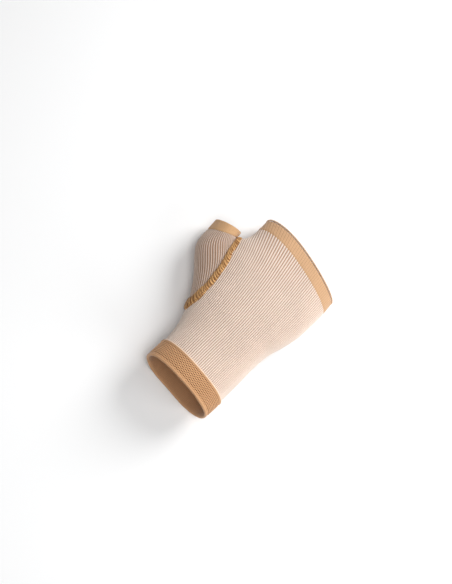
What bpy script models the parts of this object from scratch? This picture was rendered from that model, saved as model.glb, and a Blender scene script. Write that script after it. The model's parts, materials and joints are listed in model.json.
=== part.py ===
"""Elastic wrist support: a ribbed knit sleeve with a sewn-in thumb stall, a cuff and two hemmed bands.

The sleeve has the shape that it takes when worn, and lies on its palm side. The hand frame is in
millimetres: x across the hand, with the thumb at -x, y toward the fingers, and z up from the palm.
`support` is an empty that carries everything, placed so that the model stands over its own origin.
"""

import math

import bmesh
import bpy
import numpy as np
from mathutils import Vector

MM = 0.001
GAP = 0.3  # between pieces that touch

# The sleeve's outline, as (y, value) stations joined by a smooth curve.
THUMB_SIDE = ((-70, -27.6), (-50, -28.2), (-30, -31.6), (-18, -36.4), (-8, -40.0), (8, -45.4), (22, -49.4),
              (35, -52.4), (45, -51.4), (51, -49.8), (55, -47.4), (61, -45.0), (74, -44.4), (92, -45.8))
LITTLE_SIDE = ((-70, 34.8), (-50, 35.2), (-30, 35.4), (-10, 34.9), (6, 36.2), (20, 39.6), (37, 42.6),
               (55, 43.3), (70, 43.3), (92, 41.2))
HALF_HEIGHT = ((-70, 23.0), (-50, 22.4), (-30, 21.0), (0, 20.5), (20, 20.0), (45, 19.0), (70, 17.5), (92, 16.0))
SQUARENESS = 2.35  # superellipse exponent of every cross-section
PALM_FLAT = 0.4  # how far the round palm side is pressed flat where it rests
SLEEVE_THICK = 1.2

# Lengthwise layout, in y.
CUFF_START, CUFF_END = -69.0, -51.5
WRIST_Y, WRIST_ZONE = -28.0, 14.0  # the wrist's axis, and the length of knit that bends over it
BAND_START, BAND_END = 71.5, 84.8
BAND_SLANT, BAND_CROWN, BAND_SKEW = 3.2, 2.4, 2.2  # the band runs furthest out over the first knuckles
STRAIGHT_TO = 10.0  # sleeve rows are square to the hand up to here, then lean over to follow the band

# The hole for the thumb: a slit in the thumb side, spread into an oval.
HOLE_MIDDLE, HOLE_HALF_LENGTH, HOLE_HALF_WIDTH = 16.5, 34.5, 14.5

# The thumb, from the band's inner edge to its outer edge. A heading turns from +y toward the thumb.
THUMB_IN = {"centre": (-62.0, 47.2, 17.5), "heading": 33.0, "half_width": 11.8, "half_height": 11.8}
THUMB_OUT = {"centre": (-63.0, 56.0, 17.5), "heading": 15.0, "half_width": 11.2, "half_height": 11.2}
THUMB_ROOT_HEADING = 29.0
THUMB_KNUCKLE_HEADING = -1.0  # of the stall's outer side, where it meets the band
ROOT_PULL, BAND_PULL = 0.62, 0.40  # how far a rib keeps its first and last heading, as shares of its length
STALL_THICK = 1.0
STALL_FLEX_ANGLE = 22.0  # wedge of knit that folds as the thumb swings
PIVOT_CLEAR = 2.0  # the swing's axis stands this far off the stall, in the web

SEAM_R = 0.9
SEAM_CLEAR = 0.4  # from the bead of stitches to the knit
SEAM_ALLOWANCE = 1.0  # the stall starts this far beyond the hole's edge

# Layers, as heights above the sleeve's own surface: (top, thickness).
CUFF_LAYERS = {"outer": (1.5, 0.8), "elastic": (0.4, 0.6), "lining": (-0.5, 0.7)}
BAND_LAYERS = {"outer": (0.6, 0.7), "elastic": (-0.4, 0.5), "lining": (-1.2, 0.6)}
CUFF_ROLL_R, BAND_ROLL_R, THUMB_ROLL_R = 1.3, 0.9, 0.8
CUFF_ELASTICS, BAND_ELASTICS = 3, 2

AROUND = 44  # columns round a tube
STALL_AROUND = 40


def paint(name, colour, roughness):
    """A knit or rubber finish: one colour, no metal."""
    material = bpy.data.materials.new(name)
    material.use_nodes = True
    shader = material.node_tree.nodes["Principled BSDF"]
    shader.inputs["Base Color"].default_value = (*colour, 1.0)
    shader.inputs["Roughness"].default_value = roughness
    shader.inputs["Metallic"].default_value = 0.0
    return material


def smooth_curve(stations, y):
    """The value at y on a cubic curve through the stations."""
    ys, values = np.array(stations, float).T
    slopes = np.gradient(values, ys)
    i = int(np.clip(np.searchsorted(ys, y) - 1, 0, len(ys) - 2))
    step = ys[i + 1] - ys[i]
    t = (y - ys[i]) / step
    return float(
        (2 * t**3 - 3 * t**2 + 1) * values[i]
        + (t**3 - 2 * t**2 + t) * step * slopes[i]
        + (3 * t**2 - 2 * t**3) * values[i + 1]
        + (t**3 - t**2) * step * slopes[i + 1]
    )


def cross_section(y, proud=0.0, top=0.0, samples=361):
    """Points round the sleeve at y, from the thumb side over the back of the hand and under the palm.
    proud is the height above the sleeve's surface, and top that of the layer that meets the table."""
    left, right = smooth_curve(THUMB_SIDE, y), smooth_curve(LITTLE_SIDE, y)
    half_height = smooth_curve(HALF_HEIGHT, y)
    middle, half_width = (left + right) / 2, (right - left) / 2
    turn = math.pi - np.linspace(0, 2 * math.pi, samples)
    power = 2 / SQUARENESS
    c, s = np.cos(turn), np.sin(turn)
    x = middle + (half_width + proud) * np.sign(c) * np.abs(c) ** power
    z = half_height - PALM_FLAT + (half_height + proud) * np.sign(s) * np.abs(s) ** power
    z = np.maximum(z, top - proud)
    lean = np.clip((y - STRAIGHT_TO) / (BAND_START - STRAIGHT_TO), 0, 1) ** 1.5
    across = (x - middle) / half_width
    rows = y + lean * ((BAND_CROWN - BAND_SKEW * across) * (1 - across**2) - BAND_SLANT * across)
    return np.stack([x, rows, z], axis=1)


def point_on_section(y, share, proud=0.0, top=0.0):
    """The point a share of the way round the sleeve at y, by length."""
    ring = cross_section(y, proud, top)
    length = np.concatenate([[0], np.cumsum(np.linalg.norm(np.diff(ring, axis=0), axis=1))])
    return np.array([np.interp(share * length[-1], length, ring[:, k]) for k in range(3)])


def girth(y):
    return float(np.linalg.norm(np.diff(cross_section(y), axis=0), axis=1).sum())


def hole_share(y):
    """Half the hole's width at y, as a share of the girth."""
    along = (y - HOLE_MIDDLE) / HOLE_HALF_LENGTH
    return HOLE_HALF_WIDTH * math.sqrt(max(0.0, 1 - along**2)) / girth(y)


def sleeve_point(y, column):
    """column runs from 0 to 1 round the sleeve from the slit. The knit is pushed aside where the slit opens."""
    push = hole_share(y) * (1 - 2 * column) * abs(1 - 2 * column)
    return point_on_section(y, column + push)


def hole_point(turn):
    """A point on the hole's edge: turn 0 is the web, pi / 2 the back of the hand, pi the wrist end."""
    y = HOLE_MIDDLE + HOLE_HALF_LENGTH * math.cos(turn)
    share = hole_share(y)
    return point_on_section(y, share if math.sin(turn) >= 0 else 1 - share)


def heading(degrees):
    a = math.radians(degrees)
    return np.array([-math.sin(a), math.cos(a), 0.0])


def rightward(degrees):
    a = math.radians(degrees)
    return np.array([math.cos(a), math.sin(a), 0.0])


def thumb_ring(share, turn, proud=0.0):
    """A point round the thumb, on a ring a share of the way along its band."""
    def mix(key):
        return (1 - share) * np.array(THUMB_IN[key], float) + share * np.array(THUMB_OUT[key], float)

    side = rightward(float(mix("heading")))
    return (
        mix("centre")
        + (mix("half_width") + proud) * math.cos(turn) * side
        + (mix("half_height") + proud) * math.sin(turn) * np.array([0, 0, 1.0])
    )


def thumb_pivot():
    side = rightward(THUMB_IN["heading"])
    return np.array(THUMB_IN["centre"]) + (THUMB_IN["half_width"] + PIVOT_CLEAR) * side


def stall_point(turn, t):
    """A point on the stall: t runs from the hole's edge to the band along one rib."""
    start, end = hole_point(turn), thumb_ring(0, turn)
    length = float(np.linalg.norm(end - start))
    web_side = (1 + math.cos(turn)) / 2
    end_heading = web_side * THUMB_IN["heading"] + (1 - web_side) * THUMB_KNUCKLE_HEADING
    near = start + ROOT_PULL * length * heading(THUMB_ROOT_HEADING)
    far = end - BAND_PULL * length * heading(end_heading)
    return (1 - t) ** 3 * start + 3 * (1 - t) ** 2 * t * near + 3 * (1 - t) * t**2 * far + t**3 * end


def share_at_plane(turn, degrees, shift):
    """Where a rib of the stall meets the upright plane through the thumb's pivot that faces along a heading."""
    normal, pivot = heading(degrees), thumb_pivot()
    low, high = 0.0, 1.0
    for _ in range(40):
        middle = (low + high) / 2
        if (stall_point(turn, middle) - pivot) @ normal < shift:
            low = middle
        else:
            high = middle
    return low


def new_object(name, mesh, material, parent):
    """Links an object whose mesh is in the hand frame, with its origin on its parent's."""
    shape = bpy.data.objects.new(name, mesh)
    bpy.context.scene.collection.objects.link(shape)
    shape.parent = parent
    mesh.transform(parent.matrix_basis.inverted())
    mesh.materials.append(material)
    return shape


def sheet(name, rows, material, parent, thickness, split=()):
    """A tube from rows of points, each a closed ring, given its thickness inwards by Solidify.
    split lists the rows whose first and last points are apart, which leaves a hole there."""
    bm = bmesh.new()
    rings = []
    for k, row in enumerate(rows):
        rings.append([bm.verts.new(Vector(p) * MM) for p in (row if k in split else row[:-1])])
    for a, b in zip(rings, rings[1:]):
        for j in range(len(rows[0]) - 1):
            quad = [a[j], a[(j + 1) % len(a)], b[(j + 1) % len(b)], b[j]]
            bm.faces.new(dict.fromkeys(quad))
    bmesh.ops.recalc_face_normals(bm, faces=bm.faces)
    mesh = bpy.data.meshes.new(name)
    bm.to_mesh(mesh)
    bm.free()
    mesh.shade_smooth()
    shape = new_object(name, mesh, material, parent)
    solid = shape.modifiers.new("thickness", "SOLIDIFY")
    solid.thickness = thickness * MM
    solid.offset = -1.0
    solid.use_even_offset = False
    return shape


def ring_row(y, proud=0.0, top=0.0):
    return [point_on_section(y, j / AROUND, proud, top) for j in range(AROUND + 1)]


def roll(name, points, radius, material, parent):
    """A rolled edge or a cord of stitches: a round bead along a closed line."""
    line = bpy.data.curves.new(name, "CURVE")
    line.dimensions = "3D"
    line.bevel_depth = radius * MM
    line.bevel_resolution = 1
    spline = line.splines.new("POLY")
    spline.points.add(len(points) - 1)
    for spot, point in zip(spline.points, points):
        spot.co = (*(np.array(point) * MM), 1.0)
    spline.use_cyclic_u = True
    line.transform(parent.matrix_basis.inverted())
    line.materials.append(material)
    shape = bpy.data.objects.new(name, line)
    bpy.context.scene.collection.objects.link(shape)
    shape.parent = parent
    return shape


def empty(name, location, parent=None):
    mark = bpy.data.objects.new(name, None)
    mark.empty_display_size = 0.01
    mark.location = Vector(location) * MM
    mark.parent = parent
    bpy.context.scene.collection.objects.link(mark)
    bpy.context.view_layer.update()
    return mark


def make_sleeve(hand, forearm, knit):
    """The ribbed tube: its hand part with the thumb hole, the stretch that bends, and its forearm part."""
    zone_start, zone_end = WRIST_Y - WRIST_ZONE / 2, WRIST_Y + WRIST_ZONE / 2
    hole_rows = [HOLE_MIDDLE - HOLE_HALF_LENGTH * math.cos(math.pi * k / 10) for k in range(11)]
    beyond = [(hole_rows[-1] + BAND_START) / 2, BAND_START - GAP]
    ys = [zone_end, *hole_rows, *beyond]
    split = range(2, len(hole_rows))
    rows = [[sleeve_point(y, j / AROUND) for j in range(AROUND + 1)] for y in ys]
    sheet("hand_sleeve", rows, knit, hand, SLEEVE_THICK, split=split)
    bend = [ring_row(y) for y in np.linspace(zone_start + GAP, zone_end - GAP, 3)]
    sheet("wrist_flex_zone", bend, knit, hand, SLEEVE_THICK)
    lower = [ring_row(y) for y in (CUFF_END + GAP, zone_start)]
    sheet("forearm_sleeve", lower, knit, forearm, SLEEVE_THICK)


def make_stall(hand, knit):
    """The thumb's tube, sewn to the hole's edge, and the wedge of it that folds as the thumb swings."""
    turns = [2 * math.pi * j / STALL_AROUND for j in range(STALL_AROUND + 1)]
    folded = THUMB_IN["heading"] + STALL_FLEX_ANGLE

    def ribs(first, last, count):
        return [[stall_point(a, first(a) + (last(a) - first(a)) * k / count) for a in turns]
                for k in range(count + 1)]

    def off_the_hole(a):
        length = float(np.linalg.norm(thumb_ring(0, a) - hole_point(a)))
        return min(0.35, SEAM_ALLOWANCE / length)

    def at_fold(a):
        return share_at_plane(a, folded, 0.0)

    def past_fold(a):
        return share_at_plane(a, folded, GAP)

    def at_band(a):
        return share_at_plane(a, THUMB_IN["heading"], -GAP)

    sheet("thumb_stall", ribs(off_the_hole, at_fold, 6), knit, hand, STALL_THICK)
    sheet("thumb_flex_zone", ribs(past_fold, at_band, 2), knit, hand, STALL_THICK)


def sleeve_normal(turn):
    """The direction out of the sleeve at a point on the hole's edge."""
    y, step = hole_point(turn)[1], 0.002
    share = hole_share(y) if math.sin(turn) >= 0 else 1 - hole_share(y)
    share = min(max(share, step), 1 - step)
    round_it = point_on_section(y, share + step) - point_on_section(y, share - step)
    along_it = point_on_section(y + 1, share) - point_on_section(y - 1, share)
    out = np.cross(round_it, along_it)
    return out / np.linalg.norm(out)


def stall_normal(turn):
    """The direction out of the stall where it starts, at the hole's edge."""
    edge = hole_point(turn + 0.02) - hole_point(turn - 0.02)
    out = np.cross(heading(THUMB_ROOT_HEADING), edge)
    return out / np.linalg.norm(out)


def make_seam(hand, thread):
    """The overlock thread along the hole's edge, standing clear of the knit on both its sides."""
    points = []
    for j in range(STALL_AROUND):
        turn = 2 * math.pi * j / STALL_AROUND
        out = sleeve_normal(turn) + stall_normal(turn)
        valley = float(np.linalg.norm(out)) / 2  # 1 on a flat place, less where the two surfaces close up
        points.append(hole_point(turn) + (SEAM_R + SEAM_CLEAR) / valley * out / np.linalg.norm(out))
    roll("thumb_seam_thread", points, SEAM_R, thread, hand)


def make_cuff(forearm, knit, rubber):
    """A turned-back cuff: two plies with inlaid elastic between them, and a roll at each edge."""
    start, end = CUFF_START + 2 * CUFF_ROLL_R + GAP, CUFF_END - 2 * CUFF_ROLL_R - GAP
    top = CUFF_LAYERS["outer"][0]
    for ply in ("outer", "lining"):
        proud, thickness = CUFF_LAYERS[ply]
        rows = [ring_row(y, proud, top) for y in (start, end)]
        sheet(f"wrist_cuff_{ply}", rows, knit, forearm, thickness)
    proud, thickness = CUFF_LAYERS["elastic"]
    pitch = (end - start) / CUFF_ELASTICS
    for k in range(CUFF_ELASTICS):
        rows = [ring_row(start + pitch * (k + share), proud, top) for share in (0.15, 0.85)]
        sheet(f"wrist_cuff_elastic_{k + 1}", rows, rubber, forearm, thickness)
    for name, y in (("lower", CUFF_START + CUFF_ROLL_R), ("upper", CUFF_END - CUFF_ROLL_R)):
        line = ring_row(y, top - CUFF_ROLL_R, top)[:-1]
        roll(f"wrist_cuff_{name}_roll", line, CUFF_ROLL_R, knit, forearm)


def make_knuckle_band(hand, tan, rubber):
    """The hemmed band over the knuckles, with two elastics and a thin rolled edge."""
    start, end = BAND_START, BAND_END - 2 * BAND_ROLL_R - GAP
    top = BAND_LAYERS["outer"][0]
    for ply in ("outer", "lining"):
        proud, thickness = BAND_LAYERS[ply]
        rows = [ring_row(y, proud, top) for y in (start, end)]
        sheet(f"knuckle_band_{ply}", rows, tan, hand, thickness)
    proud, thickness = BAND_LAYERS["elastic"]
    pitch = (end - start) / BAND_ELASTICS
    for k in range(BAND_ELASTICS):
        rows = [ring_row(start + pitch * (k + share), proud, top) for share in (0.15, 0.85)]
        sheet(f"knuckle_band_elastic_{k + 1}", rows, rubber, hand, thickness)
    line = ring_row(BAND_END - BAND_ROLL_R, top - BAND_ROLL_R, top)[:-1]
    roll("knuckle_band_edge_roll", line, BAND_ROLL_R, tan, hand)


def make_thumb_band(thumb, tan, rubber):
    """The stall's hemmed end: two plies, one elastic and a rolled edge."""
    turns = [2 * math.pi * j / STALL_AROUND for j in range(STALL_AROUND + 1)]

    def ring(proud, share, back=0.0):
        """A ring of the band, back being how far it stays behind the place at that share of its length."""
        points = []
        for a in turns:
            length = float(np.linalg.norm(thumb_ring(1, a) - thumb_ring(0, a)))
            points.append(thumb_ring(share - back / length, a, proud))
        return points

    hem = 2 * THUMB_ROLL_R + GAP
    for ply in ("outer", "lining"):
        proud, thickness = BAND_LAYERS[ply]
        sheet(f"thumb_band_{ply}", [ring(proud, 0), ring(proud, 1, hem)], tan, thumb, thickness)
    proud, thickness = BAND_LAYERS["elastic"]
    sheet("thumb_band_elastic", [ring(proud, 0.15), ring(proud, 1, 1.4 * hem)], rubber, thumb, thickness)
    line = ring(BAND_LAYERS["outer"][0] - THUMB_ROLL_R, 1, THUMB_ROLL_R)[:-1]
    roll("thumb_band_edge_roll", line, THUMB_ROLL_R, tan, thumb)


def stand_over_origin(support):
    """Moves the whole support so that its box stands centred over the origin."""
    bpy.context.view_layer.update()
    graph = bpy.context.evaluated_depsgraph_get()
    corners = []
    for shape in [o.evaluated_get(graph) for o in bpy.context.scene.objects if o.type != "EMPTY"]:
        corners += [shape.matrix_world @ v.co for v in shape.to_mesh().vertices]
        shape.to_mesh_clear()
    low = [min(c[k] for c in corners) for k in range(3)]
    high = [max(c[k] for c in corners) for k in range(3)]
    support.location = (-(low[0] + high[0]) / 2, -(low[1] + high[1]) / 2, -low[2])


def main():
    for shape in list(bpy.data.objects):
        bpy.data.objects.remove(shape)
    knit = paint("ribbed_knit", (0.76, 0.62, 0.52), 0.9)
    tan = paint("tan_knit", (0.70, 0.45, 0.27), 0.85)
    cuff_knit = paint("cuff_knit", (0.62, 0.36, 0.20), 0.85)
    thread = paint("seam_thread", (0.43, 0.25, 0.11), 0.75)
    rubber = paint("elastic", (0.55, 0.42, 0.30), 0.6)

    support = empty("support", (0, 0, 0))
    wrist_z = smooth_curve(HALF_HEIGHT, WRIST_Y) - PALM_FLAT
    forearm = empty("wrist_axis", (0, WRIST_Y, wrist_z), support)
    thumb = empty("thumb_axis", thumb_pivot(), support)
    make_sleeve(support, forearm, knit)
    make_stall(support, knit)
    make_seam(support, thread)
    make_knuckle_band(support, tan, rubber)
    make_thumb_band(thumb, tan, rubber)
    make_cuff(forearm, cuff_knit, rubber)
    stand_over_origin(support)


main()
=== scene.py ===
"""The looks of an elastic wrist support: a ribbed sleeve with a sewn-in thumb stall, a cuff and two bands.

Shapes are worked out in the hand frame that the CAD uses, in millimetres: x across the hand with the thumb
at -x, y toward the fingers, z up from the palm. Each piece is then moved to the row frame, in metres. A
section's height, or proud, is how far a point stands above the CAD's outer surface.
"""

import json
import math

import bpy
import numpy as np
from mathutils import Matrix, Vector


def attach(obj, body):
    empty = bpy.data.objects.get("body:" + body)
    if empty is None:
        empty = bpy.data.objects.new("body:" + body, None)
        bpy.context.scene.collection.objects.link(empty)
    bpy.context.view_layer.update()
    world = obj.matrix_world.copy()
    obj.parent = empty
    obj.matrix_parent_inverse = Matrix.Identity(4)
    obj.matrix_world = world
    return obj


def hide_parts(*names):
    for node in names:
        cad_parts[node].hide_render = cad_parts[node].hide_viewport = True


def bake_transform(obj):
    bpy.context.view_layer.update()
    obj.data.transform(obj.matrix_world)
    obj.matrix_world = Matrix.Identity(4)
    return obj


MM = 0.001

# The sleeve's shape, as in the CAD: (y, value) stations, then the layout along the hand.
THUMB_SIDE = ((-70, -27.6), (-50, -28.2), (-30, -31.6), (-18, -36.4), (-8, -40.0), (8, -45.4), (22, -49.4),
              (35, -52.4), (45, -51.4), (51, -49.8), (55, -47.4), (61, -45.0), (74, -44.4), (92, -45.8))
LITTLE_SIDE = ((-70, 34.8), (-50, 35.2), (-30, 35.4), (-10, 34.9), (6, 36.2), (20, 39.6), (37, 42.6),
               (55, 43.3), (70, 43.3), (92, 41.2))
HALF_HEIGHT = ((-70, 23.0), (-50, 22.4), (-30, 21.0), (0, 20.5), (20, 20.0), (45, 19.0), (70, 17.5),
               (92, 16.0))
SQUARENESS = 2.35  # superellipse exponent of every cross-section
PALM_FLAT = 0.4  # how far the round palm side is pressed flat
CUFF_START, CUFF_END = -69.0, -51.5
WRIST_Y = -28.0
BAND_START, BAND_END = 71.5, 84.8
BAND_SLANT, BAND_CROWN, BAND_SKEW = 3.2, 2.4, 2.2
STRAIGHT_TO = 10.0  # rows are square to the hand up to here, then lean over to follow the band
HOLE_MIDDLE, HOLE_HALF_LENGTH, HOLE_HALF_WIDTH = 16.5, 34.5, 14.5

# The thumb band's inner and outer ring; a heading turns from +y toward the thumb. The inner ring has the CAD's
# place. The outer one is turned further toward the thumb than the CAD's, and both lean, as in the photograph.
THUMB_IN = {"centre": (-62.0, 47.2, 17.5), "heading": 33.0, "half_width": 11.8, "half_height": 11.8}
THUMB_OUT = {"centre": (-63.0, 55.8, 17.5), "heading": 21.0, "half_width": 11.2, "half_height": 11.2}
THUMB_LEAN = 0.24  # how far the rings lean back toward the wrist, as a share of their height
THUMB_ROOT_HEADING, THUMB_KNUCKLE_HEADING = 29.0, -1.0
ROOT_PULL, BAND_PULL = 0.62, 0.40  # how far a rib keeps its first and last heading, as shares of its length

# Knit, in mm.
RIBS, STALL_RIBS = 108, 53
RIB_COLUMNS = (0.0, 0.13, 0.3, 0.5, 0.7, 0.87)  # across one rib, from groove to groove
SLEEVE_RIB, STALL_RIB = (0.68, 0.37), (0.55, 0.34)  # half a rib's width, or this share of the pitch if less
RIB_CREST, RIB_GROOVE = 0.22, -0.24
STITCH = 1.05  # length of one stitch along a rib
SLEEVE_THICK, STALL_THICK = 1.2, 1.0

# How the worn sleeve's ribs lie, at these places along the hand. Rib 0 is this far before the back's middle
# line, and the rest follow evenly round the sleeve but for swings, each with its waves round the sleeve, the
# share of a wave that it is turned by, and its sizes. The palm's ribs spread over what the palm adds to the
# wrist's girth.
RIB_STATIONS = (-52, 5, 40, 86)
FIRST_RIB = (41.5, 43.0, 47.0, 58.0)
RIB_SWINGS = (
    (1, 0.0, (2.0, 0.5, -5.5, -19.5)),
    (2, 0.0, (-0.5, -0.7, -1.0, -3.0)),
    (2, 0.25, (-1.3, -1.4, 0.0, 2.0)),
)
PALM_RIBS = (0.55, 0.98)  # the palm's share of the ribs, from and to

# The cuff's bird's-eye knit, counted in rows of eyes from its proximal edge.
CUFF_CELLS, CELL_COLUMNS, EYE_ROWS = 122, 6, 12.6
EYE_SPREAD, EYE_DEPTH = 0.15, 0.34  # an eye's radius squared, in cells, and its depth in mm
PLAIN_BEFORE, PLAIN_AFTER = (0.9, 2.1), (10.7, 11.7)  # where the plain edges fade into the eyes
PALE_LINE = (11.5, 12.1)  # where the knit turns pale, beside the sleeve

# The thumb seam, in mm.
SEAM_PLACES = 480  # along the hole's edge
SEAM_HALF_WIDTH, SEAM_CREST = 3.5, 2.2
TAPE_LIFT, TAPE_UNDER = 0.4, -0.35
THREAD_SPACING, THREAD_RADIUS = 1.0, 0.5

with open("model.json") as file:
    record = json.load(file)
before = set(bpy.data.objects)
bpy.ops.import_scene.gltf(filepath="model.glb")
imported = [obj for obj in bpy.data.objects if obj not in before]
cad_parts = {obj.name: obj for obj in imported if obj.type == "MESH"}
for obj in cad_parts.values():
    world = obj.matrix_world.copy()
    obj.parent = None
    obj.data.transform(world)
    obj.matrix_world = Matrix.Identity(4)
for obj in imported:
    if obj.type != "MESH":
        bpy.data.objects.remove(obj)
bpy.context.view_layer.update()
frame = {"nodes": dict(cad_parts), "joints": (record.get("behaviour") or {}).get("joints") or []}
wrist_joint = next(j for j in frame["joints"] if j["name"] == "wrist_bend")
SHIFT = np.array([wrist_joint["pos_m"][0], wrist_joint["pos_m"][1] - WRIST_Y * MM, 0.0])


# ---------------------------------------------------------------- the hand's shape


def smooth_curve(stations, at):
    """The values at these places on a cubic curve through the stations, which are (place, value) pairs."""
    places, values = np.array(stations, float).T
    slopes = np.gradient(values, places)
    i = np.clip(np.searchsorted(places, at) - 1, 0, len(places) - 2)
    step = places[i + 1] - places[i]
    t = (at - places[i]) / step
    return (
        (2 * t**3 - 3 * t**2 + 1) * values[i]
        + (t**3 - 2 * t**2 + t) * step * slopes[i]
        + (3 * t**2 - 2 * t**3) * values[i + 1]
        + (t**3 - t**2) * step * slopes[i + 1]
    )


def cross_section(y, proud=0.0, top=0.0, samples=1441):
    """Points round the sleeve at y, from the thumb side over the back of the hand and under the palm, this
    far proud of it. Under the palm, points that are top proud lie on the floor and the others above it."""
    left, right = smooth_curve(THUMB_SIDE, y), smooth_curve(LITTLE_SIDE, y)
    half_height = smooth_curve(HALF_HEIGHT, y)
    middle, half_width = (left + right) / 2, (right - left) / 2
    turn = math.pi - np.linspace(0, 2 * math.pi, samples)
    power = 2 / SQUARENESS
    c, s = np.cos(turn), np.sin(turn)
    x = middle + (half_width + proud) * np.sign(c) * np.abs(c) ** power
    z = half_height - PALM_FLAT + (half_height + proud) * np.sign(s) * np.abs(s) ** power
    z = np.maximum(z, top - proud)
    lean = np.clip((y - STRAIGHT_TO) / (BAND_START - STRAIGHT_TO), 0, 1) ** 1.5
    across = (x - middle) / half_width
    rows = y + lean * ((BAND_CROWN - BAND_SKEW * across) * (1 - across**2) - BAND_SLANT * across)
    return np.stack([x, rows, z], axis=1)


def distances(line):
    """How far along a line of points each point is."""
    return np.concatenate([[0], np.cumsum(np.linalg.norm(np.diff(line, axis=0), axis=1))])


def ring(y, shares, proud=0.0, top=0.0):
    """The points at these shares of the way round the sleeve at y, by length."""
    line = cross_section(y, proud, top)
    length = distances(line)
    at = np.asarray(shares) % 1.0 * length[-1]
    return np.stack([np.interp(at, length, line[:, k]) for k in range(3)], axis=1)


def girth(y):
    """The way round the sleeve at y."""
    return float(np.linalg.norm(np.diff(cross_section(y), axis=0), axis=1).sum())


def hole_half(y):
    """Half the thumb hole's width at y, round the sleeve, and 0 beyond its ends."""
    along = (y - HOLE_MIDDLE) / HOLE_HALF_LENGTH
    return HOLE_HALF_WIDTH * math.sqrt(max(0.0, 1 - along**2))


def hole_share(y):
    """The same as a share of the way round."""
    return hole_half(y) / girth(y)


def rib_places(y, columns):
    """Where the ribs lie at y, in mm round the sleeve from the thumb side; columns run from 0 to 1."""
    line = cross_section(y)
    half = len(line) // 2
    to_middle = np.interp(0.0, line[:half, 0], distances(line)[1:half + 1])
    under = np.clip((columns - PALM_RIBS[0]) / (PALM_RIBS[1] - PALM_RIBS[0]), 0, 1)
    wrist_girth = girth(RIB_STATIONS[0])
    places = columns * wrist_girth + (girth(y) - wrist_girth) * (3 * under**2 - 2 * under**3)
    places += to_middle - smooth_curve(tuple(zip(RIB_STATIONS, FIRST_RIB)), y)
    for waves_round, turned, sizes in RIB_SWINGS:
        size = smooth_curve(tuple(zip(RIB_STATIONS, sizes)), y)
        places += size * np.cos(2 * np.pi * (waves_round * columns - turned))
    return places


def hole_point(turn):
    """A point on the hole's edge: turn 0 is the web, pi / 2 the back of the hand, pi the wrist end."""
    y = HOLE_MIDDLE + HOLE_HALF_LENGTH * math.cos(turn)
    share = hole_share(y)
    return ring(y, [share if math.sin(turn) >= 0 else 1 - share])[0]


def heading(degrees):
    """The direction across the palm's plane that is turned this far from the fingers toward the thumb."""
    a = math.radians(degrees)
    return np.array([-math.sin(a), math.cos(a), 0.0])


def thumb_ring(share, turns, proud=0.0):
    """Points round the thumb, on a ring a share of the way along its band."""
    def mix(key):
        return (1 - share) * np.array(THUMB_IN[key], float) + share * np.array(THUMB_OUT[key], float)

    a = math.radians(float(mix("heading")))
    side = np.array([math.cos(a), math.sin(a), 0.0])
    up = np.array([0.0, 0.0, 1.0]) - THUMB_LEAN * heading(math.degrees(a))
    turns = np.asarray(turns)[:, None]
    across = (mix("half_width") + proud) * np.cos(turns) * side
    return mix("centre") + across + (mix("half_height") + proud) * np.sin(turns) * up


def stall_ribs(turns):
    """Each rib of the stall as a cubic: four points for each turn, from the hole's edge to the band."""
    start = np.array([hole_point(a) for a in turns])
    end = thumb_ring(0, turns)
    length = np.linalg.norm(end - start, axis=1)[:, None]
    web_side = (1 + np.cos(turns)) / 2
    last = np.array([heading(w * THUMB_IN["heading"] + (1 - w) * THUMB_KNUCKLE_HEADING) for w in web_side])
    near = start + ROOT_PULL * length * heading(THUMB_ROOT_HEADING)
    return start, near, end - BAND_PULL * length * last, end


def on_ribs(ribs, t):
    """The points at share t of the way along each rib; t is one number or one for each rib."""
    t = np.broadcast_to(np.asarray(t, float), (len(ribs[0]),))[:, None]
    a, b, c, d = ribs
    return (1 - t) ** 3 * a + 3 * (1 - t) ** 2 * t * b + 3 * (1 - t) * t**2 * c + t**3 * d


# ---------------------------------------------------------------- mesh helpers


def unit(v):
    """Vectors of length 1 along these."""
    return v / np.maximum(np.linalg.norm(v, axis=-1, keepdims=True), 1e-9)


def normals(grid, wrap_rows, wrap_columns):
    """Directions out of a surface given as rows of points, which run clockwise seen from their far end."""
    along = (np.roll(grid, -1, 0) - np.roll(grid, 1, 0)) if wrap_rows else np.gradient(grid, axis=0)
    across = (np.roll(grid, -1, 1) - np.roll(grid, 1, 1)) if wrap_columns else np.gradient(grid, axis=1)
    return unit(np.cross(across, along))


def ripple(columns, period, seed):
    """Random heights of -1 to 1 at these places from 0 to 1, in straight lines from knot to knot."""
    knots = np.arange(0, 1 + 2 * period, period)
    heights = np.random.default_rng(seed).uniform(-1, 1, len(knots))
    fine = np.linspace(0, 1, 400)
    return np.interp(columns, fine, np.interp(fine, knots, heights))


def lengths(grid):
    """How far along its column each point of the grid is."""
    steps = np.linalg.norm(np.diff(grid, axis=0), axis=2)
    return np.concatenate([np.zeros((1, grid.shape[1])), np.cumsum(steps, axis=0)])


def make_piece(name, points, faces, uvs, materials, material_of=None, pitch=None):
    """A mesh from hand-frame points in mm. uvs holds one pair for each corner of each face, in order, and
    pitch the ribs' spacing at each point."""
    mesh = bpy.data.meshes.new(name)
    mesh.from_pydata((np.asarray(points) * MM + SHIFT).tolist(), [], faces)
    layer = mesh.uv_layers.new(name="knit")
    layer.data.foreach_set("uv", np.asarray(uvs, np.float32).ravel())
    for material in materials:
        mesh.materials.append(material)
    if material_of is not None:
        mesh.polygons.foreach_set("material_index", np.asarray(material_of, np.int32))
    if pitch is not None:
        spacing = mesh.attributes.new("pitch", "FLOAT", "POINT")
        spacing.data.foreach_set("value", np.asarray(pitch, np.float32))
    mesh.shade_smooth()
    mesh.validate()
    piece = bpy.data.objects.new(name, mesh)
    bpy.context.scene.collection.objects.link(piece)
    return piece


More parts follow.
